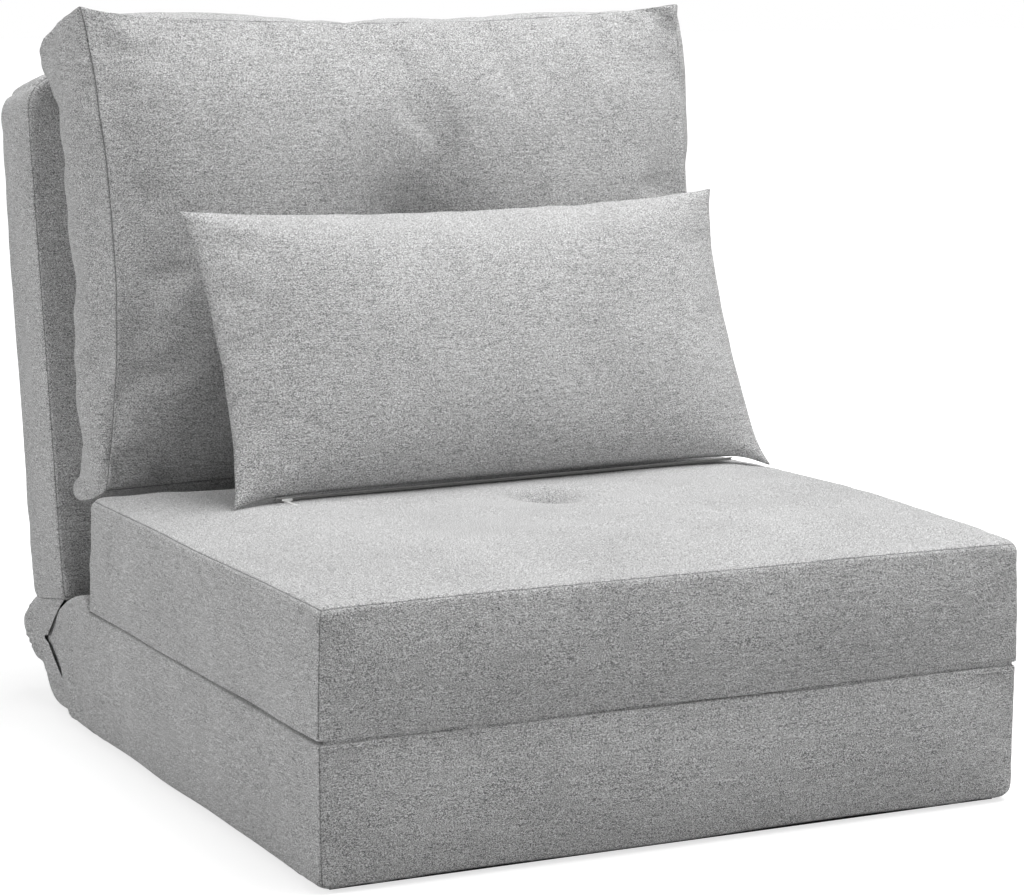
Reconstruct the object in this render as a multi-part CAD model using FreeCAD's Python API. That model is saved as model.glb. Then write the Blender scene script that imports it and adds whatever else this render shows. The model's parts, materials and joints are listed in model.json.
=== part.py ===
import FreeCAD, Part
import math
import os
from FreeCAD import Vector

# Fold-out floor chair: a foam base block, a seat block that turns over its front
# edge to lengthen the bed, a ratchet backrest, a back cushion and a lumbar pillow.
# Millimetres. +Z up, the backrest is at +Y, the origin is the centre of the base's underside.

# Blocks
BLOCK_WIDTH = 700.0
BASE_DEPTH = 666.0
BASE_HEIGHT = 130.0
SEAT_DEPTH = 600.0
SEAT_CROWN = 12.0
BLOCK_GAP = 0.5
FLIP_FLOOR_GAP = 0.5
FRONT_BULGE = 5.0
REAR_BULGE = 3.0
BLOCK_EDGE = 14.0
BLOCK_END_ROUND = 12.0
COVER_THICK = 2.0
FOAM_GAP = 0.3
BOTTOM_CLOTH_THICK = 1.2
BOTTOM_CLOTH_MARGIN = 16.0
FLIP_AXIS_GAP = 0.4

# Sewn strip that hinges the seat block to the base block
TAPE_HEIGHT = 12.0
TAPE_THICK = 1.4
TAPE_END_MARGIN = 24.0

# Backrest, measured from the hinge axis along its lean
BACK_LEAN = 9.4
BACK_SIDE_INSET = 5.0
BACK_THICK = 106.0
BACK_START = 62.0
BACK_LENGTH = 542.0
BACK_FRONT_BULGE = 4.0
BACK_REAR_BULGE = 2.0
BACK_TOP_BULGE = 3.0
BACK_EDGE = 16.0
BACK_CORNER = 42.0
BACK_FLOOR_GAP = 3.0
HINGE_BEHIND = 71.0

# Steel frame and ratchet hinges
TUBE_DIAMETER = 20.0
TUBE_WALL = 1.5
TUBE_BEND = 60.0
TUBE_CLEAR = 0.4
BASE_FRAME_FRONT = 110.0
BACK_FRAME_TOP = 80.0
CROSSBAR_SHARE = 0.5
HINGE_SIDE_INSET = 62.0
PLATE_THICK = 3.0
PLATE_GAP = 0.3
PLATE_HALF_HEIGHT = 13.0
PLATE_ROUND = 20.0
PLATE_REACH = 66.0
PIN_DIAMETER = 10.0
PIN_CLEAR = 0.1
PIN_HEAD_DIAMETER = 18.0
PIN_HEAD_THICK = 3.5
ARM_WIDTH = 24.0
ARM_REACH = 92.0
SLOT_CLEAR = 0.6
RATCHET_VALLEY = 29.0
RATCHET_TOOTH = 3.4
RATCHET_PITCH = 20.15
PAWL_PIN_DISTANCE = 58.0
PAWL_ANGLE = 225.0
PAWL_PIN_DIAMETER = 7.0
PAWL_BOSS = 8.0
PAWL_BAR = 10.0
PAWL_CLEAR = 0.4
SPRING_WIRE = 1.2
SPRING_TURNS = 3
SPRING_GAP = 0.9
BOLT_DIAMETER = 6.0
BOLT_HEAD_DIAMETER = 11.0
BOLT_HEAD_THICK = 3.0
BOLT_SPACING = 20.0
BOLT_INSET = 9.0

# Padded flaps that cover the hinges from the sides
FLAP_THICK = 16.0
FLAP_SIDE_INSET = 2.0
FLAP_GAP = 1.0
FLAP_LOW = 16.0
FLAP_HIGH = 114.0
FLAP_REACH = 88.0
FLAP_EDGE = 5.0

# Fabric boot behind the hinges
BOOT_THICK = 2.0
BOOT_SIDE_INSET = 20.0
BOOT_LOW = 12.0
BOOT_RUN = 96.0
BOOT_BULGE = 50.0
BOOT_SAG = 5.0
SEWN_GAP = 0.4

# Back cushion, in the backrest's lean
CUSHION_SIDE_INSET = 12.0
CUSHION_START = 170.0
CUSHION_HEIGHT = 476.0
CUSHION_BOTTOM_THICK = 99.0
CUSHION_TOP_THICK = 148.0
CUSHION_CROWN = 60.0
CUSHION_END_CROWN = 36.0
CUSHION_TOP_BULGE = 6.0
CUSHION_CEILING = 7.5
CUSHION_REAR_DROP = 34.0
CUSHION_DRAW = 9.0
CUSHION_GAP = 0.4

# Lumbar pillow
PILLOW_WIDTH = 610.0
PILLOW_HEIGHT = 300.0
PILLOW_FRONT_CROWN = 60.0
PILLOW_BACK_CROWN = 53.0
PILLOW_EDGE = 8.0
PILLOW_DRAW = 8.0
PILLOW_LEAN = 22.6
PILLOW_YAW = 3.6
PILLOW_RIGHT = 36.0
PILLOW_FROM_SEAT_REAR = 176.0
PILLOW_SINK = 3.2

# Zipper in the pillow's bottom edge
ZIP_LENGTH = 520.0
ZIP_TAPE_WIDTH = 7.0
ZIP_TAPE_THICK = 0.8
ZIP_RIB_WIDTH = 2.2
ZIP_RIB_HEIGHT = 1.2
ZIP_CLEAR = 0.25
SLIDER_LENGTH = 11.0
SLIDER_WIDTH = 6.0
SLIDER_FLOOR = 1.0
SLIDER_EAR = 2.0
SLIDER_END_GAP = 6.0
PULL_LENGTH = 24.0
PULL_WIDTH = 4.0
PULL_THICK = 1.0
PULL_PIN = 1.2

# Sewn tufts
TUFT_RADIUS = 70.0
TUFT_FLAT = 6.0
SEAT_TUFT_DEPTH = 16.0
CUSHION_TUFT_DEPTH = 30.0
TUFT_CORD = 2.4
TUFT_CORD_CLEAR = 0.2
TUFT_KNOT_DIAMETER = 9.0
TUFT_KNOT_THICK = 1.5
TUFT_BACKING_DIAMETER = 40.0
TUFT_BACKING_THICK = 2.0
SEAT_TUFT_FROM_CENTRE = 54.0
SEAT_TUFT_RIGHT = 34.0

# Places that follow from the sizes above
FRONT = -BASE_DEPTH / 2
REAR = BASE_DEPTH / 2
BACK_WIDTH = BLOCK_WIDTH - 2 * BACK_SIDE_INSET
BOOT_WIDTH = BLOCK_WIDTH - 2 * BOOT_SIDE_INSET
CUSHION_WIDTH = BLOCK_WIDTH - 2 * CUSHION_SIDE_INSET
HINGE_PLATE_X = BLOCK_WIDTH / 2 - HINGE_SIDE_INSET
SEAT_EDGE_HEIGHT = BASE_HEIGHT - SEAT_CROWN - FLIP_FLOOR_GAP
SEAT_BOTTOM = BASE_HEIGHT + BLOCK_GAP
SEAT_TOP = SEAT_BOTTOM + SEAT_EDGE_HEIGHT + SEAT_CROWN
SEAT_REAR = FRONT + SEAT_DEPTH
FLIP_Y = FRONT - FRONT_BULGE - FLIP_AXIS_GAP
FLIP_Z = BASE_HEIGHT + BLOCK_GAP / 2
HINGE_Y = REAR + HINGE_BEHIND
HINGE_Z = BACK_THICK / 2 + BACK_REAR_BULGE + BACK_FLOOR_GAP
BACK_TOP = BACK_START + BACK_LENGTH
CUSHION_BACK = -(BACK_THICK / 2 + BACK_FRONT_BULGE + CUSHION_GAP)
ARM_X = HINGE_PLATE_X + PLATE_THICK + PLATE_GAP
BASE_TUBE_X = HINGE_PLATE_X - TUBE_DIAMETER / 2
BACK_TUBE_X = ARM_X + PLATE_THICK + TUBE_DIAMETER / 2
PILLOW_Y = SEAT_REAR - PILLOW_FROM_SEAT_REAR

X_AXIS = Vector(1, 0, 0)
Z_AXIS = Vector(0, 0, 1)
ORIGIN = Vector(0, 0, 0)
QUARTER_SAG = 1 - math.sqrt(0.5)

NODES = {}


def keep(name, shape):
    """File a finished piece under its node name."""
    NODES[name] = shape


def fuse_all(shapes):
    """One solid out of overlapping shapes."""
    body = shapes[0].multiFuse(shapes[1:])
    return body.removeSplitter()


def soft_wire(x, corners, bulges):
    """A closed section at x: corners are (y, z), and each side bows outwards by its bulge."""
    centre_y = sum(y for y, z in corners) / len(corners)
    centre_z = sum(z for y, z in corners) / len(corners)
    edges = []
    for index, (y0, z0) in enumerate(corners):
        y1, z1 = corners[(index + 1) % len(corners)]
        start = Vector(x, y0, z0)
        end = Vector(x, y1, z1)
        bulge = bulges[index]
        if bulge == 0:
            edges.append(Part.LineSegment(start, end).toShape())
            continue
        normal = Vector(0, z1 - z0, y0 - y1).normalize()
        middle = (start + end) * 0.5
        if normal.dot(middle - Vector(x, centre_y, centre_z)) < 0:
            normal = normal * -1
        edges.append(Part.Arc(start, middle + normal * bulge, end).toShape())
    return Part.Wire(edges)


def loft(wires):
    """A closed solid through sections, straight between neighbours."""
    return Part.makeLoft(wires, True, True)


def box(x0, x1, y0, y1, z0, z1):
    """A block between two corners."""
    return Part.makeBox(x1 - x0, y1 - y0, z1 - z0, Vector(x0, y0, z0))


def rod(start, direction, length, diameter):
    """A round bar."""
    return Part.makeCylinder(diameter / 2, length, start, direction)


def end_stations(half, end_round):
    """Places along half a block's width, with how far the section draws in there."""
    middle = [(share * (half - end_round), 0.0) for share in (0.0, 0.5, 0.8, 1.0)]
    rounded = []
    for share in (0.5, 0.13, 0.0):
        reach = share * end_round
        inset = end_round - math.sqrt(end_round ** 2 - (end_round - reach) ** 2)
        rounded.append((half - reach, inset))
    return middle + rounded


def soft_block(half, y0, y1, z0, z1, bulges, edge, end_round):
    """A foam block: bowed faces (bottom, rear, top, front), round edges and round ends."""
    right = end_stations(half, end_round)
    stations = [(-x, inset) for x, inset in reversed(right[1:])] + right
    wires = []
    for x, inset in stations:
        fullness = max(0.15, 1 - (abs(x) / half) ** 4)
        low_y, high_y = y0 + inset, y1 - inset
        low_z, high_z = z0 + inset, z1 - inset
        corners = [
            (low_y + edge, low_z), (high_y - edge, low_z),
            (high_y, low_z + edge), (high_y, high_z - edge),
            (high_y - edge, high_z), (low_y + edge, high_z),
            (low_y, high_z - edge), (low_y, low_z + edge),
        ]
        corner_bulge = edge * QUARTER_SAG
        bottom, rear, top, front = [bulge * fullness for bulge in bulges]
        sides = [bottom, corner_bulge, rear, corner_bulge, top, corner_bulge, front, corner_bulge]
        wires.append(soft_wire(x, corners, sides))
    return loft(wires)


def outline_prism(points, bulges, y0, y1):
    """A prism along Y from an outline of (x, z) points whose sides bow out, or in where negative."""
    centre = Vector(sum(x for x, z in points), 0, sum(z for x, z in points)) * (1 / len(points))
    edges = []
    for index, (x0, z0) in enumerate(points):
        x1, z1 = points[(index + 1) % len(points)]
        start = Vector(x0, y0, z0)
        end = Vector(x1, y0, z1)
        if bulges[index] == 0:
            edges.append(Part.LineSegment(start, end).toShape())
            continue
        middle = (start + end) * 0.5
        normal = Vector(z1 - z0, 0, x0 - x1).normalize()
        if normal.dot(middle - centre - Vector(0, y0, 0)) < 0:
            normal = normal * -1
        edges.append(Part.Arc(start, middle + normal * bulges[index], end).toShape())
    return Part.Face(Part.Wire(edges)).extrude(Vector(0, y1 - y0, 0))


def tuft_hollow(depth, inset):
    """The dimple that a tuft pulls in, opening towards +Z with its mouth at z = 0."""
    over = depth + CUSHION_CROWN
    floor = -depth - inset
    start = Vector(TUFT_FLAT, 0, floor)
    rim = Vector(TUFT_RADIUS, 0, -inset)
    bend = Vector(TUFT_FLAT + 0.3 * (TUFT_RADIUS - TUFT_FLAT), 0, floor + 0.62 * depth)
    edges = [
        Part.LineSegment(Vector(0, 0, floor), start).toShape(),
        Part.Arc(start, bend, rim).toShape(),
        Part.LineSegment(rim, Vector(TUFT_RADIUS, 0, over)).toShape(),
        Part.LineSegment(Vector(TUFT_RADIUS, 0, over), Vector(0, 0, over)).toShape(),
        Part.LineSegment(Vector(0, 0, over), Vector(0, 0, floor)).toShape(),
    ]
    return Part.Face(Part.Wire(edges)).revolve(ORIGIN, Z_AXIS, 360)


def cover_and_filling(form):
    """A fabric cover and the filling inside it, from one form that can be drawn in by an inset."""
    cover = form(0).cut(form(COVER_THICK))
    return cover, form(COVER_THICK + FOAM_GAP)


def leaned(shape):
    """Take a piece drawn upright about the hinge axis to its place in the backrest's lean."""
    placed = shape.copy()
    placed.rotate(ORIGIN, X_AXIS, -BACK_LEAN)
    placed.translate(Vector(0, HINGE_Y, HINGE_Z))
    return placed


def mirrored(shape):
    """The left-hand copy of a right-hand piece."""
    return shape.mirror(ORIGIN, X_AXIS)


def tube_path(points, bend):
    """A wire through the points with a round bend at each inner one."""
    edges = []
    start = points[0]
    for before, corner, after in zip(points, points[1:], points[2:]):
        back = (before - corner).normalize()
        onward = (after - corner).normalize()
        arc_start = corner + back * bend
        arc_end = corner + onward * bend
        centre = corner + (back + onward) * bend
        middle = centre + (corner - centre).normalize() * bend
        edges.append(Part.LineSegment(start, arc_start).toShape())
        edges.append(Part.Arc(arc_start, middle, arc_end).toShape())
        start = arc_end
    edges.append(Part.LineSegment(start, points[-1]).toShape())
    return Part.Wire(edges)


def round_pipe(path, diameter):
    """A solid round bar along a wire."""
    first = path.Edges[0]
    direction = first.tangentAt(first.FirstParameter)
    ring = Part.Wire(Part.makeCircle(diameter / 2, first.valueAt(first.FirstParameter), direction))
    return path.makePipeShell([ring], True, False)


def bent_tube(points):
    """A bent steel tube, and the channel that it needs in the foam."""
    path = tube_path(points, TUBE_BEND)
    tube = round_pipe(path, TUBE_DIAMETER).cut(round_pipe(path, TUBE_DIAMETER - 2 * TUBE_WALL))
    return tube, round_pipe(path, TUBE_DIAMETER + 2 * TUBE_CLEAR)


def base_form(inset):
    """The base block above its bottom cloth."""
    return soft_block(
        BLOCK_WIDTH / 2 - inset, FRONT + inset, REAR - inset,
        BOTTOM_CLOTH_THICK + inset, BASE_HEIGHT - inset,
        (0, REAR_BULGE, 0, FRONT_BULGE), BLOCK_EDGE, BLOCK_END_ROUND)


def seat_tuft_place():
    """Where the seat's tuft is sewn, on top of the crown."""
    return Vector(SEAT_TUFT_RIGHT, (FRONT + SEAT_REAR) / 2 + SEAT_TUFT_FROM_CENTRE, SEAT_TOP)


def seat_form(inset):
    """The seat block with its crown and its sewn tuft."""
    block = soft_block(
        BLOCK_WIDTH / 2 - inset, FRONT + inset, SEAT_REAR - inset,
        SEAT_BOTTOM + inset, SEAT_BOTTOM + SEAT_EDGE_HEIGHT - inset,
        (0, REAR_BULGE, SEAT_CROWN, FRONT_BULGE), BLOCK_EDGE, BLOCK_END_ROUND)
    hollow = tuft_hollow(SEAT_TUFT_DEPTH, inset)
    hollow.translate(seat_tuft_place())
    return block.cut(hollow)


def back_form(inset):
    """The backrest slab, upright about the hinge axis, with round top corners."""
    half = BACK_WIDTH / 2 - inset
    low, high = BACK_START + inset, BACK_TOP - inset
    slab = soft_block(
        half, -BACK_THICK / 2 + inset, BACK_THICK / 2 - inset, low, high,
        (0, BACK_REAR_BULGE, BACK_TOP_BULGE, BACK_FRONT_BULGE), BACK_EDGE, BLOCK_END_ROUND)
    corner = BACK_CORNER - inset
    top = high + BACK_TOP_BULGE
    points = [
        (half, low), (half, top - corner), (half - corner, top),
        (corner - half, top), (-half, top - corner), (-half, low),
    ]
    bulge = corner * math.sqrt(2) * (math.sqrt(2) - 1) / 2
    return slab.common(outline_prism(points, (0, bulge, 0, bulge, 0, 0), -BACK_THICK, BACK_THICK))


def cushion_front(share, fullness):
    """How far the back cushion's front stands from its back, a share of the way up."""
    edge = CUSHION_BOTTOM_THICK + (CUSHION_TOP_THICK - CUSHION_BOTTOM_THICK) * share
    crown = CUSHION_END_CROWN + (CUSHION_CROWN - CUSHION_END_CROWN) * fullness
    return edge + crown * 4 * share * (1 - share)


def cushion_form(inset):
    """The back cushion, upright about the hinge axis: crowned front, drawn-in edges, one tuft."""
    half = CUSHION_WIDTH / 2 - inset
    low, high = CUSHION_START + inset, CUSHION_START + CUSHION_HEIGHT - inset
    back = CUSHION_BACK - inset
    wires = []
    for share in (-1.0, -0.9, -0.7, -0.4, 0.0, 0.4, 0.7, 0.9, 1.0):
        fullness = 1 - share ** 2
        crown = CUSHION_END_CROWN + (CUSHION_CROWN - CUSHION_END_CROWN) * fullness
        corners = [
            (back, low), (CUSHION_BACK - CUSHION_BOTTOM_THICK + inset, low),
            (CUSHION_BACK - CUSHION_TOP_THICK + inset, high), (back, high - CUSHION_REAR_DROP),
        ]
        wires.append(soft_wire(share * half, corners, (0, crown, CUSHION_TOP_BULGE, 0)))
    ceiling = high + CUSHION_CEILING
    high_room = [(half, low), (half, ceiling), (-half, ceiling), (-half, low)]
    draws = (-CUSHION_DRAW, -CUSHION_DRAW, -CUSHION_DRAW, 0)
    reach = CUSHION_BACK - CUSHION_TOP_THICK - 2 * CUSHION_CROWN
    cushion = loft(wires).common(outline_prism(high_room, draws, reach, 0))
    hollow = tuft_hollow(CUSHION_TUFT_DEPTH, inset)
    hollow.rotate(ORIGIN, X_AXIS, 90)
    hollow.translate(cushion_tuft_place())
    return cushion.cut(hollow)


def cushion_tuft_place():
    """Where the back cushion's tuft is sewn, on the front of the crown."""
    front = CUSHION_BACK - cushion_front(0.5, 1.0)
    return Vector(0, front, CUSHION_START + CUSHION_HEIGHT / 2)


def pillow_form(inset):
    """The lumbar pillow, upright on its bottom edge: a crowned form with drawn-in edges."""
    half = PILLOW_WIDTH / 2 - inset
    low, high = inset, PILLOW_HEIGHT - inset
    edge = PILLOW_EDGE / 2 - inset / 8
    wires = []
    for share in (-1.0, -0.93, -0.78, -0.5, 0.0, 0.5, 0.78, 0.93, 1.0):
        fullness = math.sqrt(max(0.0, 1 - abs(share) ** 2.4))
        front = max(1.0, fullness * (PILLOW_FRONT_CROWN - inset))
        rear = max(1.0, fullness * (PILLOW_BACK_CROWN - inset))
        corners = [(edge, low), (-edge, low), (-edge, high), (edge, high)]
        wires.append(soft_wire(share * half, corners, (0, front, 0, rear)))
    zip_half = ZIP_LENGTH / 2 + SLIDER_LENGTH
    outline = [
        (half, low), (half, high), (-half, high), (-half, low),
        (-zip_half, low + PILLOW_DRAW), (zip_half, low + PILLOW_DRAW),
    ]
    draws = (-PILLOW_DRAW, -PILLOW_DRAW, -PILLOW_DRAW, 0, 0, 0)
    return loft(wires).common(outline_prism(outline, draws, -2 * PILLOW_FRONT_CROWN, 2 * PILLOW_FRONT_CROWN))


def place_pillow(shape):
    """Take a piece drawn with the upright pillow to where the pillow leans on the seat."""
    placed = shape.copy()
    placed.rotate(ORIGIN, X_AXIS, -PILLOW_LEAN)
    placed.rotate(ORIGIN, Z_AXIS, PILLOW_YAW)
    placed.translate(Vector(PILLOW_RIGHT, PILLOW_Y, pillow_bottom()))
    return placed


def pillow_bottom():
    """The height of the pillow's lower corners, which rest where the seat's crown falls away."""
    return SEAT_TOP - PILLOW_SINK


def tuft_tie(top, bottom):
    """A sewn tie with its knot, standing along Z from bottom to top."""
    cord = rod(Vector(0, 0, bottom), Z_AXIS, top - bottom, TUFT_CORD)
    knot = rod(Vector(0, 0, top), Z_AXIS, TUFT_KNOT_THICK, TUFT_KNOT_DIAMETER)
    return fuse_all([cord, knot])


def tuft_backing():
    """The disc that the tie is knotted to under the filling, with its top at z = 0."""
    disc = rod(Vector(0, 0, -TUFT_BACKING_THICK), Z_AXIS, TUFT_BACKING_THICK, TUFT_BACKING_DIAMETER)
    hole = rod(Vector(0, 0, -TUFT_BACKING_THICK), Z_AXIS, TUFT_BACKING_THICK, TUFT_CORD + 2 * TUFT_CORD_CLEAR)
    return disc.cut(hole)


def add_tuft(prefix, cover, filling, thick, place):
    """Sew a tuft: tie and backing in their places, and their room in the cover and the filling.

    thick is from the dimple's floor to the far face of the block, both outside.
    """
    bottom = -thick + COVER_THICK + FOAM_GAP
    backing = tuft_backing()
    backing.translate(Vector(0, 0, bottom + TUFT_BACKING_THICK))
    tie = tuft_tie(0, bottom)
    room = fuse_all([
        rod(Vector(0, 0, bottom), Z_AXIS, -bottom + TUFT_KNOT_THICK, TUFT_CORD + 2 * TUFT_CORD_CLEAR),
        rod(Vector(0, 0, bottom - FOAM_GAP / 2), Z_AXIS, TUFT_BACKING_THICK + FOAM_GAP,
            TUFT_BACKING_DIAMETER + 2 * FOAM_GAP),
    ])
    keep(prefix + "_tuft_tie", place(tie))
    keep(prefix + "_tuft_backing", place(backing))
    return cover.cut(place(room)), filling.cut(place(room))


def build_base():
    """Base block: cover, foam, bent frame, bottom cloth and the hinge strip at the front."""
    cover, foam = cover_and_filling(base_form)
    front_bar = FRONT + BASE_FRAME_FRONT
    frame_end = HINGE_Y - PLATE_REACH + 2 * BOLT_INSET + BOLT_SPACING
    frame, channel = bent_tube([
        Vector(-BASE_TUBE_X, frame_end, HINGE_Z), Vector(-BASE_TUBE_X, front_bar, HINGE_Z),
        Vector(BASE_TUBE_X, front_bar, HINGE_Z), Vector(BASE_TUBE_X, frame_end, HINGE_Z),
    ])
    keep("base_cover", cover.cut(channel))
    keep("base_foam", foam.cut(channel))
    for bolt_y in base_bolt_places():
        frame = frame.cut(bolt_hole(bolt_y)).cut(mirrored(bolt_hole(bolt_y)))
    keep("base_frame", frame)
    half = BLOCK_WIDTH / 2 - BOTTOM_CLOTH_MARGIN
    keep("base_bottom_cloth", box(
        -half, half, FRONT + BOTTOM_CLOTH_MARGIN, REAR - BOTTOM_CLOTH_MARGIN, 0, BOTTOM_CLOTH_THICK))
    tape_half = BLOCK_WIDTH / 2 - TAPE_END_MARGIN
    depth = BLOCK_EDGE - (TAPE_HEIGHT - BLOCK_GAP) / 2
    valley = FRONT + BLOCK_EDGE - math.sqrt(BLOCK_EDGE ** 2 - depth ** 2)
    tape_back = valley - FOAM_GAP
    keep("flip_hinge_tape", box(
        -tape_half, tape_half, tape_back - TAPE_THICK, tape_back,
        FLIP_Z - TAPE_HEIGHT / 2, FLIP_Z + TAPE_HEIGHT / 2))


def base_bolt_places():
    """Y of the two bolts that hold a hinge plate to the base frame."""
    first = HINGE_Y - PLATE_REACH + BOLT_INSET
    return [first, first + BOLT_SPACING]


def bolt_hole(y):
    """A bolt's hole along X through the base tube and plate, on the right side."""
    start = Vector(BASE_TUBE_X - TUBE_DIAMETER, y, HINGE_Z)
    return rod(start, X_AXIS, 2 * TUBE_DIAMETER, BOLT_DIAMETER + 2 * PIN_CLEAR)


def headed_bolt(x0, x1, y, z, outer_head):
    """A bolt along X that clamps what lies between x0 and x1, headed inside and, if asked, outside."""
    shank = rod(Vector(x0, y, z), X_AXIS, x1 - x0, BOLT_DIAMETER)
    inner = rod(Vector(x0 - BOLT_HEAD_THICK, y, z), X_AXIS, BOLT_HEAD_THICK, BOLT_HEAD_DIAMETER)
    heads = [inner]
    if outer_head:
        heads.append(rod(Vector(x1, y, z), X_AXIS, BOLT_HEAD_THICK, BOLT_HEAD_DIAMETER))
    return fuse_all([shank] + heads)


def pawl_frame(along, out):
    """A point beside the ratchet: along the pawl from its tooth, and out from the hinge axis."""
    angle = math.radians(PAWL_ANGLE)
    radial = Vector(0, math.cos(angle), math.sin(angle))
    tangent = Vector(0, -math.sin(angle), math.cos(angle))
    return radial * out + tangent * along


def pawl_pin_place():
    """The pawl's pin, from the hinge axis: square to the tooth's own line of travel."""
    reach = math.sqrt(PAWL_PIN_DISTANCE ** 2 - RATCHET_VALLEY ** 2)
    return pawl_frame(-reach, RATCHET_VALLEY)


def ratchet_disc():
    """The toothed end of a hinge arm, about the hinge axis, with a valley at the pawl."""
    points = []
    for index in range(round(360 / RATCHET_PITCH)):
        angle = math.radians(PAWL_ANGLE + index * 360 / round(360 / RATCHET_PITCH))
        half = math.radians(180 / round(360 / RATCHET_PITCH))
        tip = RATCHET_VALLEY + RATCHET_TOOTH
        points.append(Vector(ARM_X, RATCHET_VALLEY * math.cos(angle), RATCHET_VALLEY * math.sin(angle)))
        points.append(Vector(ARM_X, tip * math.cos(angle + half), tip * math.sin(angle + half)))
    wire = Part.makePolygon(points + points[:1])
    return Part.Face(wire).extrude(Vector(PLATE_THICK, 0, 0))


def build_hinge_right():
    """The right-hand ratchet hinge: plate, pin, arm, pawl, pawl pin and spring."""
    axis = Vector(0, HINGE_Y, HINGE_Z)
    pawl_pin = pawl_pin_place()
    outer_x = ARM_X + PLATE_THICK

    plate = fuse_all([
        box(HINGE_PLATE_X, HINGE_PLATE_X + PLATE_THICK, -PLATE_REACH, 0,
            -PLATE_HALF_HEIGHT, PLATE_HALF_HEIGHT),
        rod(Vector(HINGE_PLATE_X, 0, 0), X_AXIS, PLATE_THICK, 2 * PLATE_ROUND),
        rod(Vector(HINGE_PLATE_X, 0, 0) + pawl_pin, X_AXIS, PLATE_THICK, 2 * PAWL_BOSS),
    ])
    plate = plate.cut(rod(Vector(HINGE_PLATE_X, 0, 0), X_AXIS, PLATE_THICK, PIN_DIAMETER))
    plate = plate.cut(rod(Vector(HINGE_PLATE_X, 0, 0) + pawl_pin, X_AXIS, PLATE_THICK, PAWL_PIN_DIAMETER))
    plate.translate(axis)
    for bolt_y in base_bolt_places():
        plate = plate.cut(bolt_hole(bolt_y))

    pin = fuse_all([
        rod(Vector(HINGE_PLATE_X, 0, 0), X_AXIS, outer_x + PLATE_GAP - HINGE_PLATE_X, PIN_DIAMETER),
        rod(Vector(HINGE_PLATE_X - PIN_HEAD_THICK, 0, 0), X_AXIS, PIN_HEAD_THICK, PIN_HEAD_DIAMETER),
        rod(Vector(outer_x + PLATE_GAP, 0, 0), X_AXIS, PIN_HEAD_THICK, PIN_HEAD_DIAMETER),
    ])
    pin.translate(axis)

    bar = box(ARM_X, outer_x, -ARM_WIDTH / 2, ARM_WIDTH / 2, 0, BACK_START + ARM_REACH)
    bar.rotate(ORIGIN, X_AXIS, -BACK_LEAN)
    arm = fuse_all([ratchet_disc(), bar])
    arm = arm.cut(rod(Vector(ARM_X, 0, 0), X_AXIS, PLATE_THICK, PIN_DIAMETER + 2 * PIN_CLEAR))
    arm.translate(axis)
    for height in arm_bolt_heights():
        arm = arm.cut(leaned(arm_bolt_hole(height)))

    pawl = build_pawl(pawl_pin)
    pawl.translate(axis)

    spring_x = outer_x + PLATE_GAP
    spring_room = SPRING_WIRE + 2 * PLATE_GAP
    pivot = fuse_all([
        rod(Vector(HINGE_PLATE_X, 0, 0), X_AXIS, spring_x + spring_room - HINGE_PLATE_X, PAWL_PIN_DIAMETER),
        rod(Vector(spring_x + spring_room, 0, 0), X_AXIS, PLATE_THICK, PAWL_PIN_DIAMETER + 4 * SPRING_WIRE),
    ])
    pivot.translate(axis + pawl_pin)

    spring = build_spring(spring_x + spring_room / 2)
    spring.translate(axis + pawl_pin)
    return {
        "hinge_base_plate": plate, "hinge_pin": pin, "hinge_arm": arm,
        "pawl": pawl, "pawl_pin": pivot, "pawl_spring": spring,
    }


def build_pawl(pawl_pin):
    """The pawl, about the hinge axis: a bar from its pin to one tooth in the ratchet's valley."""
    tip = RATCHET_VALLEY + PAWL_CLEAR
    shoulder = RATCHET_VALLEY + RATCHET_TOOTH + 2 * PAWL_CLEAR
    pitch = 360 / round(360 / RATCHET_PITCH)
    tooth_half = (RATCHET_VALLEY + RATCHET_TOOTH) * math.sin(math.radians(pitch / 2)) * 0.86
    pin_along = -math.sqrt(PAWL_PIN_DISTANCE ** 2 - RATCHET_VALLEY ** 2)
    corners = [
        (pin_along, RATCHET_VALLEY + PAWL_BAR / 2), (tooth_half + PAWL_BAR / 5, shoulder + PAWL_BAR),
        (tooth_half + PAWL_BAR / 5, shoulder), (tooth_half, shoulder), (0, tip), (-tooth_half, shoulder),
        (-tooth_half - PAWL_BAR, shoulder), (pin_along, RATCHET_VALLEY - PAWL_BAR / 2),
    ]
    points = [pawl_frame(along, out) + Vector(ARM_X, 0, 0) for along, out in corners]
    bar = Part.Face(Part.makePolygon(points + points[:1])).extrude(Vector(PLATE_THICK, 0, 0))
    boss = rod(Vector(ARM_X, 0, 0) + pawl_pin, X_AXIS, PLATE_THICK, 2 * PAWL_BOSS)
    hole = rod(Vector(ARM_X, 0, 0) + pawl_pin, X_AXIS, PLATE_THICK, PAWL_PIN_DIAMETER + 2 * PIN_CLEAR)
    return fuse_all([bar, boss]).cut(hole)


def build_spring(x):
    """A flat spiral spring round the pawl's pin, of half turns that grow from the pin."""
    radius = PAWL_PIN_DIAMETER / 2 + SPRING_WIRE / 2 + PLATE_GAP
    step = SPRING_WIRE + SPRING_GAP
    centre = 0.0
    edges = []
    for half_turn in range(2 * SPRING_TURNS):
        side = 1 if half_turn % 2 == 0 else -1
        start = Vector(x, centre + side * radius, 0)
        top = Vector(x, centre, side * radius)
        end = Vector(x, centre - side * radius, 0)
        edges.append(Part.Arc(start, top, end).toShape())
        radius += step / 4
        centre += side * step / 4
    return round_pipe(Part.Wire(edges), SPRING_WIRE)


def arm_bolt_heights():
    """Heights of the two bolts that hold the backrest frame to a hinge arm."""
    last = BACK_START + ARM_REACH - BOLT_INSET
    return [last - 2 * BOLT_SPACING, last]


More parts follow.
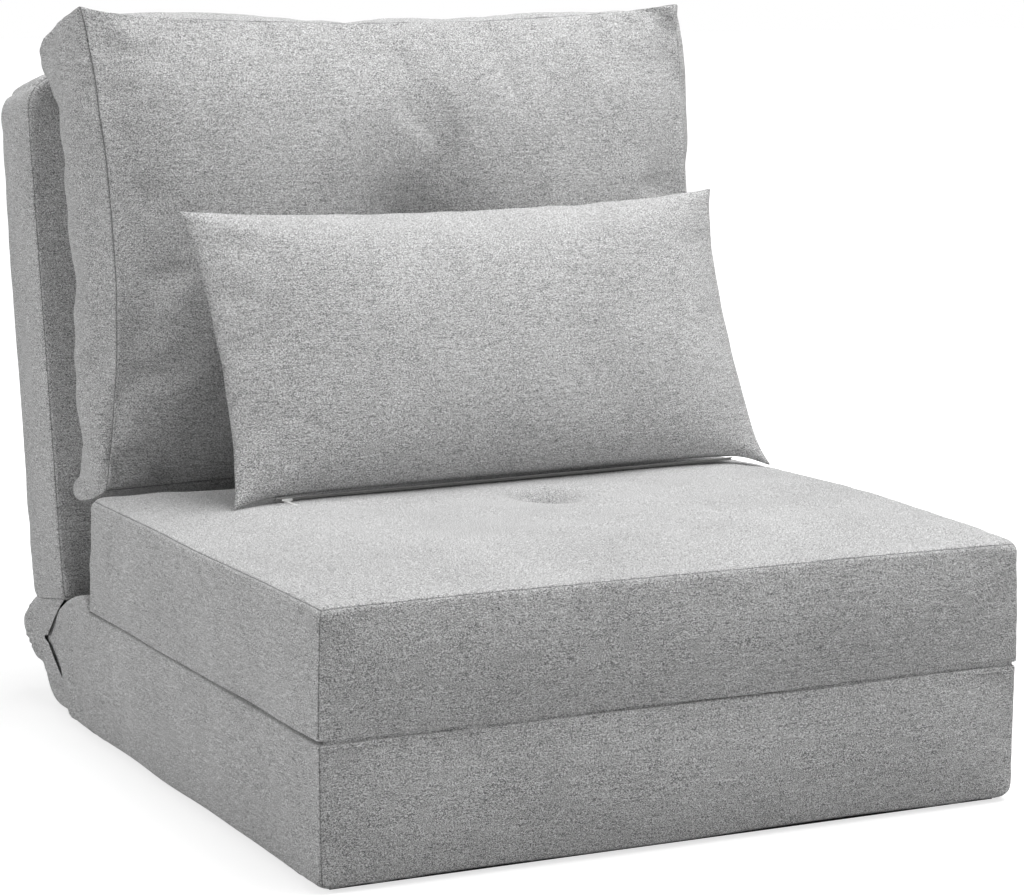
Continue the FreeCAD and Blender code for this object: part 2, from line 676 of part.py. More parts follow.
def arm_bolt_hole(height):
    """A bolt's hole along X through an arm and the backrest tube, upright about the hinge axis."""
    start = Vector(ARM_X - TUBE_DIAMETER, 0, height)
    return rod(start, X_AXIS, 3 * TUBE_DIAMETER, BOLT_DIAMETER + 2 * PIN_CLEAR)


def build_hinges():
    """Both hinges, their bolts and the boot behind them."""
    right = build_hinge_right()
    for name, shape in right.items():
        keep("right_" + name, shape)
        keep("left_" + name, mirrored(shape))
    bolts = []
    for bolt_y in base_bolt_places():
        tube_inner = BASE_TUBE_X - TUBE_DIAMETER / 2
        bolt = headed_bolt(tube_inner, HINGE_PLATE_X + PLATE_THICK, bolt_y, HINGE_Z, False)
        bolts += [bolt, mirrored(bolt)]
    keep("base_hinge_bolts", Part.makeCompound(bolts))
    keep("hinge_boot", build_boot())
    flap = build_flap()
    keep("right_hinge_flap", flap)
    keep("left_hinge_flap", mirrored(flap))


def build_flap():
    """The padded flap on the right, from the base's rear face round the side of the hinge."""
    outer = BLOCK_WIDTH / 2 - FLAP_SIDE_INSET
    start = REAR + FLAP_GAP
    high = Vector(outer - FLAP_THICK, start, FLAP_HIGH)
    low = Vector(outer - FLAP_THICK, start, FLAP_LOW)
    tip = Vector(outer - FLAP_THICK, start + FLAP_REACH, (FLAP_HIGH + FLAP_LOW) / 2)
    profile = Part.Wire([Part.LineSegment(low, high).toShape(), Part.Arc(high, tip, low).toShape()])
    flap = Part.Face(profile).extrude(Vector(FLAP_THICK, 0, 0))
    rims = [edge for edge in flap.Edges if abs(edge.BoundBox.XLength) < 0.001 and edge.BoundBox.YLength > 1]
    return flap.makeFillet(FLAP_EDGE, rims)


def build_boot():
    """The loose fabric boot round the hinges: a rear loop, a short top sheet and two end panels."""
    inset = BACK_THICK / 2 - BACK_EDGE
    rear_edge = leaned(Part.Vertex(Vector(0, inset, BACK_START - SEWN_GAP))).Point
    front_edge = leaned(Part.Vertex(Vector(0, -inset, BACK_START - SEWN_GAP))).Point
    low = Vector(0, REAR + REAR_BULGE + SEWN_GAP, BOOT_LOW)
    turn = Vector(0, low.y + BOOT_RUN, BOOT_LOW)
    high = Vector(0, low.y, BASE_HEIGHT - BLOCK_EDGE)
    outward = Vector(0, rear_edge.z - turn.z, turn.y - rear_edge.y).normalize()
    crest = (turn + rear_edge) * 0.5 + outward * BOOT_BULGE
    dip = (high + front_edge) * 0.5 - Vector(0, 0, BOOT_SAG)
    profile = [
        Part.LineSegment(low, turn).toShape(),
        Part.Arc(turn, crest, rear_edge).toShape(),
        Part.LineSegment(rear_edge, front_edge).toShape(),
        Part.Arc(front_edge, dip, high).toShape(),
        Part.LineSegment(high, low).toShape(),
    ]
    solid = Part.Face(Part.Wire(profile)).extrude(Vector(BOOT_WIDTH, 0, 0))
    rise = Vector(0, 0, BOOT_THICK)
    side = Vector(0, BOOT_THICK, 0)
    past = Vector(0, 0, BACK_EDGE)
    before = Vector(0, BACK_EDGE, 0)
    room_edges = [
        Part.LineSegment(low + rise - before, turn + rise).toShape(),
        Part.Arc(turn + rise, crest - outward * BOOT_THICK, rear_edge - side).toShape(),
        Part.LineSegment(rear_edge - side, rear_edge - side + past).toShape(),
        Part.LineSegment(rear_edge - side + past, front_edge + side + past).toShape(),
        Part.LineSegment(front_edge + side + past, front_edge + side).toShape(),
        Part.Arc(front_edge + side, dip - rise, high - rise).toShape(),
        Part.LineSegment(high - rise, high - rise - before).toShape(),
        Part.LineSegment(high - rise - before, low + rise - before).toShape(),
    ]
    room = Part.Face(Part.Wire(room_edges)).extrude(Vector(BOOT_WIDTH - 2 * BOOT_THICK, 0, 0))
    room.translate(Vector(BOOT_THICK, 0, 0))
    boot = solid.cut(room)
    boot.translate(Vector(-BOOT_WIDTH / 2, 0, 0))
    return boot


def build_backrest():
    """Backrest: cover, two foam slabs and the frame between them."""
    cover = back_form(0).cut(back_form(COVER_THICK))
    foam = back_form(COVER_THICK + FOAM_GAP)
    top_bar = BACK_TOP - BACK_FRAME_TOP
    leg_end = BACK_START + COVER_THICK + 2 * FOAM_GAP
    frame, channel = bent_tube([
        Vector(-BACK_TUBE_X, 0, leg_end), Vector(-BACK_TUBE_X, 0, top_bar),
        Vector(BACK_TUBE_X, 0, top_bar), Vector(BACK_TUBE_X, 0, leg_end),
    ])
    bar_z = BACK_START + BACK_LENGTH * CROSSBAR_SHARE
    bar_half = BACK_TUBE_X - TUBE_DIAMETER / 2 - FOAM_GAP
    bar_start = Vector(-bar_half, 0, bar_z)
    bore = rod(bar_start, X_AXIS, 2 * bar_half, TUBE_DIAMETER - 2 * TUBE_WALL)
    crossbar = rod(bar_start, X_AXIS, 2 * bar_half, TUBE_DIAMETER).cut(bore)
    bar_room = rod(bar_start, X_AXIS, 2 * bar_half, TUBE_DIAMETER + 2 * TUBE_CLEAR)

    slot_half = ARM_WIDTH / 2 + SLOT_CLEAR
    slot = box(ARM_X - SLOT_CLEAR, ARM_X + PLATE_THICK + SLOT_CLEAR, -slot_half, slot_half,
               0, BACK_START + ARM_REACH + SLOT_CLEAR)
    rooms = [slot, mirrored(slot)]
    bolts = []
    for height in arm_bolt_heights():
        bolt = headed_bolt(ARM_X, BACK_TUBE_X + TUBE_DIAMETER / 2, 0, height, True)
        room = rod(Vector(ARM_X - 2 * BOLT_HEAD_THICK, 0, height), X_AXIS,
                   TUBE_DIAMETER + 5 * BOLT_HEAD_THICK, BOLT_HEAD_DIAMETER + 2 * TUBE_CLEAR)
        bolts += [bolt, mirrored(bolt)]
        rooms += [room, mirrored(room)]
        frame = frame.cut(arm_bolt_hole(height)).cut(mirrored(arm_bolt_hole(height)))
    cover = cover.cut(slot).cut(mirrored(slot))
    foam = foam.cut(Part.makeCompound([channel, bar_room]))
    for room in rooms:
        foam = foam.cut(room)
    reach = BACK_WIDTH
    front_half = foam.common(box(-reach, reach, -BACK_THICK, -FOAM_GAP / 2, 0, BACK_TOP + reach))
    rear_half = foam.common(box(-reach, reach, FOAM_GAP / 2, BACK_THICK, 0, BACK_TOP + reach))
    keep("backrest_cover", leaned(cover))
    keep("backrest_front_foam", leaned(front_half))
    keep("backrest_rear_foam", leaned(rear_half))
    keep("backrest_frame", leaned(frame))
    keep("backrest_crossbar", leaned(crossbar))
    keep("backrest_hinge_bolts", leaned(Part.makeCompound(bolts)))


def build_seat():
    """Seat block: cover, foam and its sewn tuft."""
    cover, foam = cover_and_filling(seat_form)
    floor = seat_tuft_place() - Vector(0, 0, SEAT_TUFT_DEPTH)

    def place(shape):
        placed = shape.copy()
        placed.translate(floor)
        return placed

    thick = floor.z - SEAT_BOTTOM
    cover, foam = add_tuft("seat", cover, foam, thick, place)
    keep("seat_cover", cover)
    keep("seat_foam", foam)


def build_cushion():
    """Back cushion: cover, filling and its sewn tuft."""
    cover, filling = cover_and_filling(cushion_form)
    floor = cushion_tuft_place() + Vector(0, CUSHION_TUFT_DEPTH, 0)

    def place(shape):
        placed = shape.copy()
        placed.rotate(ORIGIN, X_AXIS, 90)
        placed.translate(floor)
        return placed

    thick = CUSHION_BACK - floor.y
    cover, filling = add_tuft("back_cushion", cover, filling, thick, place)
    for name in ("back_cushion_tuft_tie", "back_cushion_tuft_backing"):
        keep(name, leaned(NODES[name]))
    keep("back_cushion_cover", leaned(cover))
    keep("back_cushion_filling", leaned(filling))


def build_pillow():
    """Lumbar pillow: cover, filling, zipper, slider and pull."""
    cover, filling = cover_and_filling(pillow_form)
    keep("lumbar_pillow_cover", place_pillow(cover))
    keep("lumbar_pillow_filling", place_pillow(filling))
    half = ZIP_LENGTH / 2
    tape_top = PILLOW_DRAW
    tape_low = tape_top - ZIP_TAPE_THICK
    tape = box(-half, half, -ZIP_TAPE_WIDTH / 2, ZIP_TAPE_WIDTH / 2, tape_low, tape_top)
    rib = box(-half, half, -ZIP_RIB_WIDTH / 2, ZIP_RIB_WIDTH / 2, tape_low - ZIP_RIB_HEIGHT, tape_low)
    keep("pillow_zipper", place_pillow(fuse_all([tape, rib])))

    x0 = -half + SLIDER_END_GAP
    x1 = x0 + SLIDER_LENGTH
    groove_half = ZIP_RIB_WIDTH / 2 + ZIP_CLEAR
    groove_low = tape_low - ZIP_RIB_HEIGHT - ZIP_CLEAR
    floor_low = groove_low - SLIDER_FLOOR
    body = box(x0, x1, -SLIDER_WIDTH / 2, SLIDER_WIDTH / 2, floor_low, tape_low - ZIP_CLEAR)
    body = body.cut(box(x0, x1, -groove_half, groove_half, groove_low, tape_low))
    pin_x = (x0 + x1) / 2
    pin_z = floor_low - SLIDER_EAR / 2
    ear_y = -SLIDER_WIDTH / 2
    ear_inner = PULL_WIDTH / 2 + ZIP_CLEAR
    ears = []
    for side in (-1, 1):
        near = pin_x + side * ear_inner
        far = near + side * PULL_THICK
        ears.append(box(min(near, far), max(near, far), ear_y, ear_y + SLIDER_EAR,
                        floor_low - SLIDER_EAR, floor_low + SLIDER_FLOOR))
    pin = rod(Vector(pin_x - ear_inner, ear_y + SLIDER_EAR / 2, pin_z), X_AXIS, 2 * ear_inner, PULL_PIN)
    keep("pillow_zipper_slider", place_pillow(fuse_all([body, pin] + ears)))

    eye = rod(Vector(pin_x - PULL_WIDTH / 2, ear_y + SLIDER_EAR / 2, pin_z), X_AXIS, PULL_WIDTH, SLIDER_EAR)
    tab = box(pin_x - PULL_WIDTH / 2, pin_x + PULL_WIDTH / 2, ear_y + SLIDER_EAR / 2 - PULL_LENGTH,
              ear_y + SLIDER_EAR / 2, pin_z - PULL_THICK / 2, pin_z + PULL_THICK / 2)
    hole = rod(Vector(pin_x - PULL_WIDTH, ear_y + SLIDER_EAR / 2, pin_z), X_AXIS, 2 * PULL_WIDTH,
               PULL_PIN + 2 * PIN_CLEAR)
    pull = fuse_all([eye, tab]).cut(hole)
    pull.rotate(Vector(0, ear_y + SLIDER_EAR / 2, pin_z), X_AXIS, PILLOW_LEAN)
    keep("pillow_zipper_pull", place_pillow(pull))


build_base()
build_hinges()
build_backrest()
build_seat()
build_cushion()
build_pillow()

os.makedirs("parts", exist_ok=True)
for name, shape in NODES.items():
    shape.exportStep(os.path.join("parts", name + ".step"))
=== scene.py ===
import json
import math
import bpy
from mathutils import Matrix, Vector, noise


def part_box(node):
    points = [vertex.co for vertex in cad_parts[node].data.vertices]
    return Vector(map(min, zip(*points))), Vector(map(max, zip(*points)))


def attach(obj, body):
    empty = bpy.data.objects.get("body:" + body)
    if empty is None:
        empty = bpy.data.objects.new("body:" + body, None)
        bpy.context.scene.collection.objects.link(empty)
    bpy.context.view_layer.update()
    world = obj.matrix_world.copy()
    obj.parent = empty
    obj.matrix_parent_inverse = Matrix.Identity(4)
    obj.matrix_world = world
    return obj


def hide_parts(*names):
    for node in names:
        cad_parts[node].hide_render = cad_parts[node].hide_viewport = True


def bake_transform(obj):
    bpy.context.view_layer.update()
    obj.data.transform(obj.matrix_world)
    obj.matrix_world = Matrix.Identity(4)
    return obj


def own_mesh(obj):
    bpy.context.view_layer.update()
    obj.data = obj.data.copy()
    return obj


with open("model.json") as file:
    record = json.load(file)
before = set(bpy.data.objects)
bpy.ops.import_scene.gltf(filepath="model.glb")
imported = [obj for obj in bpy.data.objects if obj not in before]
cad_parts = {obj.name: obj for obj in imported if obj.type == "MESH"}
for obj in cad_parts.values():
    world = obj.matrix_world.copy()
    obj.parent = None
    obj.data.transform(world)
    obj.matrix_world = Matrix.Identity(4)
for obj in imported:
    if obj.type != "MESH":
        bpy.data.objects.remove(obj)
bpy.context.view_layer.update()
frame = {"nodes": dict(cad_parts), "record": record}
NODES = frame["nodes"]

# The backrest's hinge line and lean, and how the pillow lies on the seat
HINGE_Y = 0.404
HINGE_Z = 0.058
LEAN = math.radians(9.4)
PILLOW_LEAN = math.radians(22.6)
PILLOW_YAW = math.radians(3.6)
PILLOW_PLACE = Vector((0.036, 0.091, 0.2568))
SEAT_TUFT = Vector((0.034, 0.021, 0.0))

# Front of both blocks, their rears, and the height of the seat's top edges
BLOCK_FRONT = -0.333
BASE_REAR = 0.3335
SEAT_REAR = 0.2675
SEAT_EDGE = 0.248

# Edge radii of the blocks: where they lie on one another, and elsewhere
TIGHT = 0.004
SOFT = 0.013

# Size of the lattice cells, and the shares of a rounded edge where it has more lines
CELL = 0.010
EDGE_SHARES = (0.0, 0.22, 0.55)

SIM_FRAMES = 20

# How deep the covers' seams lie
BLOCK_SEAM = 0.0012
CUSHION_SEAM = 0.0015

# Noise frequencies per metre along x, y and z: threads on upright and on level faces, then the heather
UPRIGHT_THREADS = (800, 800, 1700)
LEVEL_THREADS = (800, 1700, 800)
SPECKLES = (1600, 1600, 1600)
STREAKS = (60, 60, 700)
PATCHES = (9, 9, 9)


def material(name):
    """A new node material, with its node tree and its main shader."""
    made = bpy.data.materials.new(name)
    made.use_nodes = True
    tree = made.node_tree
    return made, tree, tree.nodes["Principled BSDF"]


def node(tree, kind, **values):
    """A new shader node with its properties set."""
    made = tree.nodes.new(kind)
    for key, value in values.items():
        setattr(made, key, value)
    return made


def math_node(tree, operation, first, second):
    """A Math node; each input is a number or a socket."""
    made = node(tree, "ShaderNodeMath", operation=operation)
    for socket, value in zip(made.inputs, (first, second)):
        if isinstance(value, (int, float)):
            socket.default_value = value
        else:
            tree.links.new(value, socket)
    return made.outputs[0]


def grain(tree, coords, scale, detail):
    """Noise stretched by a scale per axis, in object space."""
    mapping = node(tree, "ShaderNodeMapping")
    mapping.inputs["Scale"].default_value = scale
    tree.links.new(coords, mapping.inputs["Vector"])
    texture = node(tree, "ShaderNodeTexNoise")
    texture.inputs["Scale"].default_value = 1.0
    texture.inputs["Detail"].default_value = detail
    texture.inputs["Roughness"].default_value = 0.62
    tree.links.new(mapping.outputs[0], texture.inputs["Vector"])
    return texture.outputs["Fac"]


def ramp(tree, factor, stops):
    """A colour ramp of (position, colour) stops."""
    made = node(tree, "ShaderNodeValToRGB")
    elements = made.color_ramp.elements
    while len(elements) < len(stops):
        elements.new(0.5)
    for element, (position, colour) in zip(elements, stops):
        element.position = position
        element.color = (*colour, 1.0)
    tree.links.new(factor, made.inputs[0])
    return made.outputs[0]


def by_face(tree, level, lying, upright):
    """One value on level faces and another on upright ones; level is 1 or 0."""
    standing = math_node(tree, "SUBTRACT", 1.0, level)
    return math_node(tree, "ADD", math_node(tree, "MULTIPLY", lying, level),
                     math_node(tree, "MULTIPLY", upright, standing))


def add_bump(tree, shader, height, strength, distance):
    """Relief in a material from a height."""
    bump = node(tree, "ShaderNodeBump")
    bump.inputs["Strength"].default_value = strength
    bump.inputs["Distance"].default_value = distance
    tree.links.new(height, bump.inputs["Height"])
    tree.links.new(bump.outputs[0], shader.inputs["Normal"])


def cloth_material():
    """Heathered linen-look cloth: slubs along the threads, fine speckle, weave bump, dark seams and painted
    shade in the seat's tuft dimple.
    """
    made, tree, shader = material("heathered_cloth")
    place = node(tree, "ShaderNodeTexCoord")
    coords = place.outputs["Object"]
    upright = grain(tree, coords, UPRIGHT_THREADS, detail=0.5)
    lying = grain(tree, coords, LEVEL_THREADS, detail=0.5)
    speckle = grain(tree, coords, SPECKLES, detail=0.0)
    streak = grain(tree, coords, STREAKS, detail=1.0)
    shade = grain(tree, coords, PATCHES, detail=2.0)
    parts = node(tree, "ShaderNodeSeparateXYZ")
    tree.links.new(place.outputs["Normal"], parts.inputs[0])
    level = math_node(tree, "ABSOLUTE", parts.outputs["Z"], 0.0)
    level = math_node(tree, "GREATER_THAN", level, 0.7)
    slub = by_face(tree, level, lying, upright)
    streak = by_face(tree, level, 0.5, streak)
    mixed = math_node(tree, "MULTIPLY", slub, 0.46)
    for layer, weight in ((speckle, 0.38), (shade, 0.05), (streak, 0.11)):
        mixed = math_node(tree, "ADD", mixed, math_node(tree, "MULTIPLY", layer, weight))
    colour = ramp(tree, mixed, [
        (0.40, (0.110, 0.110, 0.111)), (0.47, (0.390, 0.390, 0.391)),
        (0.52, (0.530, 0.530, 0.531)), (0.59, (0.860, 0.860, 0.861)),
    ])
    # The seam attribute darkens the cloth: dark seam lines, and painted shade where it marks the seat's tuft
    # dimple.
    seam = node(tree, "ShaderNodeAttribute", attribute_name="seam")
    seam_and_shade_sharpness = 2.5
    seam_and_shade_darkness = 0.75
    line = math_node(tree, "POWER", seam.outputs["Fac"], seam_and_shade_sharpness)
    keep = math_node(tree, "SUBTRACT", 1.0, math_node(tree, "MULTIPLY", line, seam_and_shade_darkness))
    darker = node(tree, "ShaderNodeMix", data_type="RGBA", blend_type="MULTIPLY")
    darker.inputs["Factor"].default_value = 1.0
    tree.links.new(colour, darker.inputs[6])
    tree.links.new(keep, darker.inputs[7])
    tree.links.new(darker.outputs[2], shader.inputs["Base Color"])
    add_bump(tree, shader, mixed, strength=0.35, distance=0.0007)
    shader.inputs["Roughness"].default_value = 0.92
    shader.inputs["Specular IOR Level"].default_value = 0.2
    shader.inputs["Sheen Weight"].default_value = 0.12
    shader.inputs["Sheen Roughness"].default_value = 0.6
    return made


def plain_material(name, dark, light, scale, roughness, depth, metallic=0.0):
    """A finish with a fine grain in colour and height, for the pieces inside and the zipper."""
    made, tree, shader = material(name)
    place = node(tree, "ShaderNodeTexCoord")
    fine = grain(tree, place.outputs["Object"], scale, detail=4.0)
    tree.links.new(ramp(tree, fine, [(0.35, dark), (0.65, light)]), shader.inputs["Base Color"])
    add_bump(tree, shader, fine, strength=0.3, distance=depth)
    shader.inputs["Roughness"].default_value = roughness
    shader.inputs["Metallic"].default_value = metallic
    return made


CLOTH = cloth_material()
SLOT_FINISH = {
    "grey_cloth": CLOTH,
    "foam": plain_material(
        "foam", (0.70, 0.62, 0.36), (0.80, 0.73, 0.48), (600, 600, 600),
        roughness=0.95, depth=0.001),
    "fibre_filling": plain_material(
        "fibre", (0.74, 0.74, 0.73), (0.86, 0.86, 0.85), (90, 90, 400),
        roughness=0.95, depth=0.002),
    "non_slip_cloth": plain_material(
        "non_slip", (0.012, 0.012, 0.012), (0.035, 0.035, 0.035), (400, 400, 400),
        roughness=0.8, depth=0.0006),
    "tie_thread": plain_material(
        "thread", (0.24, 0.24, 0.24), (0.40, 0.40, 0.39), (900, 900, 2400),
        roughness=0.85, depth=0.0004),
    "backing_felt": plain_material(
        "felt", (0.14, 0.14, 0.14), (0.22, 0.22, 0.22), (500, 500, 500),
        roughness=0.95, depth=0.0006),
    "zipper_tape": plain_material(
        "zipper_tape", (0.28, 0.28, 0.28), (0.42, 0.42, 0.41), (1600, 300, 300),
        roughness=0.8, depth=0.0004),
    "zipper_white": plain_material(
        "zipper_white", (0.78, 0.78, 0.77), (0.86, 0.86, 0.85), (500, 500, 500),
        roughness=0.35, depth=0.0001),
    "frame_paint": plain_material(
        "frame_paint", (0.012, 0.012, 0.012), (0.020, 0.020, 0.020), (300, 300, 300),
        roughness=0.45, depth=0.0002),
    "hinge_steel": plain_material(
        "hinge_steel", (0.50, 0.50, 0.50), (0.66, 0.66, 0.65), (60, 60, 900),
        roughness=0.38, depth=0.0001, metallic=1.0),
}


def steps(low, high, rounding):
    """Lattice coordinates along one axis, closer together where an edge is rounded."""
    inner_low = low + rounding
    inner_high = high - rounding
    count = max(1, round((inner_high - inner_low) / CELL))
    middle = [inner_low + (inner_high - inner_low) * n / count for n in range(count + 1)]
    near = [share * rounding for share in EDGE_SHARES]
    return [low + n for n in near] + middle + [high - n for n in reversed(near)]


def rounded(point, low, high, radii):
    """A point on a box's surface, moved onto the same box with edges rounded by radii at its foot and top."""
    share = (point.z - low.z) / (high.z - low.z)
    radius = radii[0] + (radii[1] - radii[0]) * share
    inner = Vector([min(max(p, a + radius), b - radius) for p, a, b in zip(point, low, high)])
    off = point - inner
    if off.length < 1e-9:
        return point
    return inner + off.normalized() * radius


def lattice_shell(xs, ys, zs, place):
    """The closed surface of a lattice: vertices, faces, each vertex's lattice indices and the cell counts."""
    nx, ny, nz = len(xs) - 1, len(ys) - 1, len(zs) - 1
    index = {}
    verts = []
    faces = []

    def at(i, j, k):
        key = (i, j, k)
        if key not in index:
            index[key] = len(verts)
            verts.append(place(xs[i], ys[j], zs[k]))
        return index[key]

    for i in range(nx):
        for j in range(ny):
            faces.append((at(i, j, 0), at(i, j + 1, 0), at(i + 1, j + 1, 0), at(i + 1, j, 0)))
            faces.append((at(i, j, nz), at(i + 1, j, nz), at(i + 1, j + 1, nz), at(i, j + 1, nz)))
        for k in range(nz):
            faces.append((at(i, 0, k), at(i + 1, 0, k), at(i + 1, 0, k + 1), at(i, 0, k + 1)))
            faces.append((at(i, ny, k), at(i, ny, k + 1), at(i + 1, ny, k + 1), at(i + 1, ny, k)))
    for j in range(ny):
        for k in range(nz):
            faces.append((at(0, j, k), at(0, j, k + 1), at(0, j + 1, k + 1), at(0, j + 1, k)))
            faces.append((at(nx, j, k), at(nx, j + 1, k), at(nx, j + 1, k + 1), at(nx, j, k + 1)))
    return verts, faces, index, (nx, ny, nz)


def new_object(name, verts, faces):
    """A smooth-shaded mesh object in cloth."""
    mesh = bpy.data.meshes.new(name)
    mesh.from_pydata([tuple(v) for v in verts], [], faces)
    mesh.update()
    mesh.shade_smooth()
    made = bpy.data.objects.new(name, mesh)
    bpy.context.scene.collection.objects.link(made)
    made.data.materials.append(CLOTH)
    return made


def puff(piece, pressure, cap, held, shrunk, shrink):
    """Blow the cloth up from inside; held vertices stay, shrunk ones gather like a sewn seam."""
    scene = bpy.context.scene
    hold = piece.vertex_groups.new(name="held")
    for vertex, weight in held:
        hold.add([vertex], weight, "REPLACE")
    gather = piece.vertex_groups.new(name="gathered")
    gather.add(shrunk, 1.0, "REPLACE")
    cloth = piece.modifiers.new("cloth", "CLOTH")
    settings = cloth.settings
    settings.quality = 6
    settings.mass = 0.3
    settings.tension_stiffness = 20.0
    settings.compression_stiffness = 20.0
    settings.shear_stiffness = 8.0
    settings.bending_stiffness = 0.4
    settings.use_pressure = True
    settings.uniform_pressure_force = pressure
    settings.effector_weights.gravity = 0.0
    settings.vertex_group_mass = "held"
    settings.vertex_group_shrink = "gathered"
    settings.shrink_min = 0.0
    settings.shrink_max = shrink
    cloth.point_cache.frame_start = 1
    cloth.point_cache.frame_end = SIM_FRAMES
    for number in range(1, SIM_FRAMES + 1):
        scene.frame_set(number)
    graph = bpy.context.evaluated_depsgraph_get()
    result = piece.evaluated_get(graph).to_mesh()
    moved = [vertex.co.copy() for vertex in result.vertices]
    piece.evaluated_get(graph).to_mesh_clear()
    piece.modifiers.remove(cloth)
    scene.frame_set(1)
    for vertex, co in zip(piece.data.vertices, moved):
        step = co - vertex.co
        if step.length > cap:
            step *= cap / step.length
        vertex.co += step
    piece.vertex_groups.clear()
    piece.data.update()


def puff_block(piece, seam):
    """The slight fullness of a cover stretched over foam, with its seams held."""
    puff(piece, pressure=0.6, cap=0.003, held=[(vertex, 0.9) for vertex in seam], shrunk=seam, shrink=0.02)


def sew(piece, seam, depth, mark=1.0):
    """Draw the seam's vertices in, mark them for the material and subdivide."""
    mesh = piece.data
    marks = mesh.attributes.new("seam", "FLOAT", "POINT")
    normals = [vertex.normal.copy() for vertex in mesh.vertices]
    for vertex in seam:
        mesh.vertices[vertex].co -= normals[vertex] * depth
        marks.data[vertex].value = mark
    mesh.update()
    smooth = piece.modifiers.new("smooth", "SUBSURF")
    smooth.levels = 1
    smooth.render_levels = 1


def waver(point, size, amount, seed):
    """A small smooth push that differs from place to place, always the same for one place."""
    return noise.noise(point / size + Vector((seed, 2 * seed, 3 * seed))) * amount


def edge_seams(index, counts):
    """Lattice vertices along the edges of the box, where the panels are sewn together."""
    seam = []
    for key, vertex in index.items():
        ends = sum(1 for value, count in zip(key, counts) if value in (0, count))
        if ends >= 2:
            seam.append(vertex)
    return seam


def open_seams(index, counts, hidden):
    """The edge seams but for those on the faces in hidden, given as (axis, index)."""
    sunk = {vertex for key, vertex in index.items() if any(key[axis] == n for axis, n in hidden)}
    return [vertex for vertex in edge_seams(index, counts) if vertex not in sunk]


def dimple(distance, radius, depth):
    """How far a sewn tuft draws the cloth in at a distance from its tie."""
    share = max(0.0, 1.0 - distance / radius)
    return depth * share ** 1.4


# Slight unevenness of a cover along x, y and z: the size of its waves, their height and a step of the seed
COVER_WAVES = ((0.14, 0.0018, 0), (0.16, 0.0018, 5), (0.12, 0.0016, 9))


def block(name, low, high, radii, shape, seed):
    """A foam block in its sewn cover: shape(point, s, t, v) bows its faces, s, t and v run over its box."""
    low = Vector(low)
    high = Vector(high)
    size = high - low

    def place(x, y, z):
        point = rounded(Vector((x, y, z)), low, high, radii)
        s = 2 * (point.x - low.x) / size.x - 1
        t = 2 * (point.y - low.y) / size.y - 1
        v = (point.z - low.z) / size.z
        moved = shape(point, s, t, v)
        wave = Vector([waver(point, width, height, seed + step) for width, height, step in COVER_WAVES])
        return moved + wave

    spread = max(radii)
    xs = steps(low.x, high.x, spread)
    ys = steps(low.y, high.y, spread)
    zs = steps(low.z, high.z, spread)
    verts, faces, index, counts = lattice_shell(xs, ys, zs, place)
    return new_object(name, verts, faces), index, counts


def bow(value, power):
    """1 in the middle of a side and 0 at its ends, for value from -1 to 1."""
    return 1.0 - abs(value) ** power


def block_bulge(s, t, up):
    """How far a block's front and sides stand out between the edges."""
    front_bulge = 0.005
    side_bulge = 0.002
    push = Vector((0, 0, 0))
    push.y -= front_bulge * bow(s, 4) * bow(up, 2) * max(0.0, -t)
    push.x += math.copysign(side_bulge, s) * bow(t, 4) * bow(up, 2) * abs(s)
    return push


def base_shape(point, s, t, v):
    """The base block: its front and sides stand out a little."""
    return point + block_bulge(s, t, 2 * v - 1)


def tuft_distance(point):
    """The distance from the seat's tuft as a share of its dimple, which is steeper at its rear."""
    sideways = 0.050
    rearwards = 0.032
    forwards = 0.075
    away = point - SEAT_TUFT
    return math.hypot(away.x / sideways, away.y / (rearwards if away.y > 0 else forwards))


def seat_shape(point, s, t, v):
    """The seat block: like the base, with a crowned top and a tuft."""
    crown = 0.011
    right_fall = 0.25
    tuft_depth = 0.027
    up = 2 * v - 1
    push = block_bulge(s, t, up)
    top = max(0.0, up) ** 2
    full = bow(s, 4) if s < 0 else 1 - right_fall * s ** 10
    push.z += crown * full * bow(t, 2.4) * top
    push.z -= dimple(tuft_distance(point), radius=1.0, depth=tuft_depth) * top
    return point + push


def leaned(x, depth, height):
    """A point given in the backrest's lean: depth from the hinge plane (rear positive), height along it."""
    y = HINGE_Y + depth * math.cos(LEAN) + height * math.sin(LEAN)
    z = HINGE_Z + height * math.cos(LEAN) - depth * math.sin(LEAN)
    return Vector((x, y, z))


def make_blocks():
    """Base and seat blocks."""
    low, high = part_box("base_cover")
    base, index, counts = block(
        "base_block", (low.x, BLOCK_FRONT, low.z), (high.x, BASE_REAR, high.z),
        radii=(SOFT, TIGHT), shape=base_shape, seed=1)
    puff_block(base, edge_seams(index, counts))
    sew(base, open_seams(index, counts, [(2, counts[2]), (1, counts[1])]), BLOCK_SEAM)
    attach(base, "base")
    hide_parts("base_cover", "base_foam")

    low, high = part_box("seat_cover")
    seat, index, counts = block(
        "seat_block", (low.x, BLOCK_FRONT, low.z), (high.x, SEAT_REAR, SEAT_EDGE),
        radii=(TIGHT, SOFT), shape=seat_shape, seed=2)
    puff_block(seat, edge_seams(index, counts))
    sew(seat, open_seams(index, counts, [(2, 0)]), BLOCK_SEAM)
    # Painted shade in the seat's tuft dimple: the seam attribute darkens the top cloth around the tie, most
    # at its middle and less towards its rim.
    tuft_painted_shade = 0.68
    marks = seat.data.attributes["seam"].data
    for key, vertex in index.items():
        share = 1 - tuft_distance(seat.data.vertices[vertex].co)
        if key[2] == counts[2] and share > 0:
            marks[vertex].value = tuft_painted_shade * share ** 0.5
    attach(seat, "seat")
    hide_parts("seat_cover", "seat_foam")


# The backrest slab: half its width and half its thickness, and its ends' heights above the hinge line
BACK_HALF = 0.348
BACK_THICK = 0.053
BACK_LOW = 0.056
BACK_TOP = 0.604


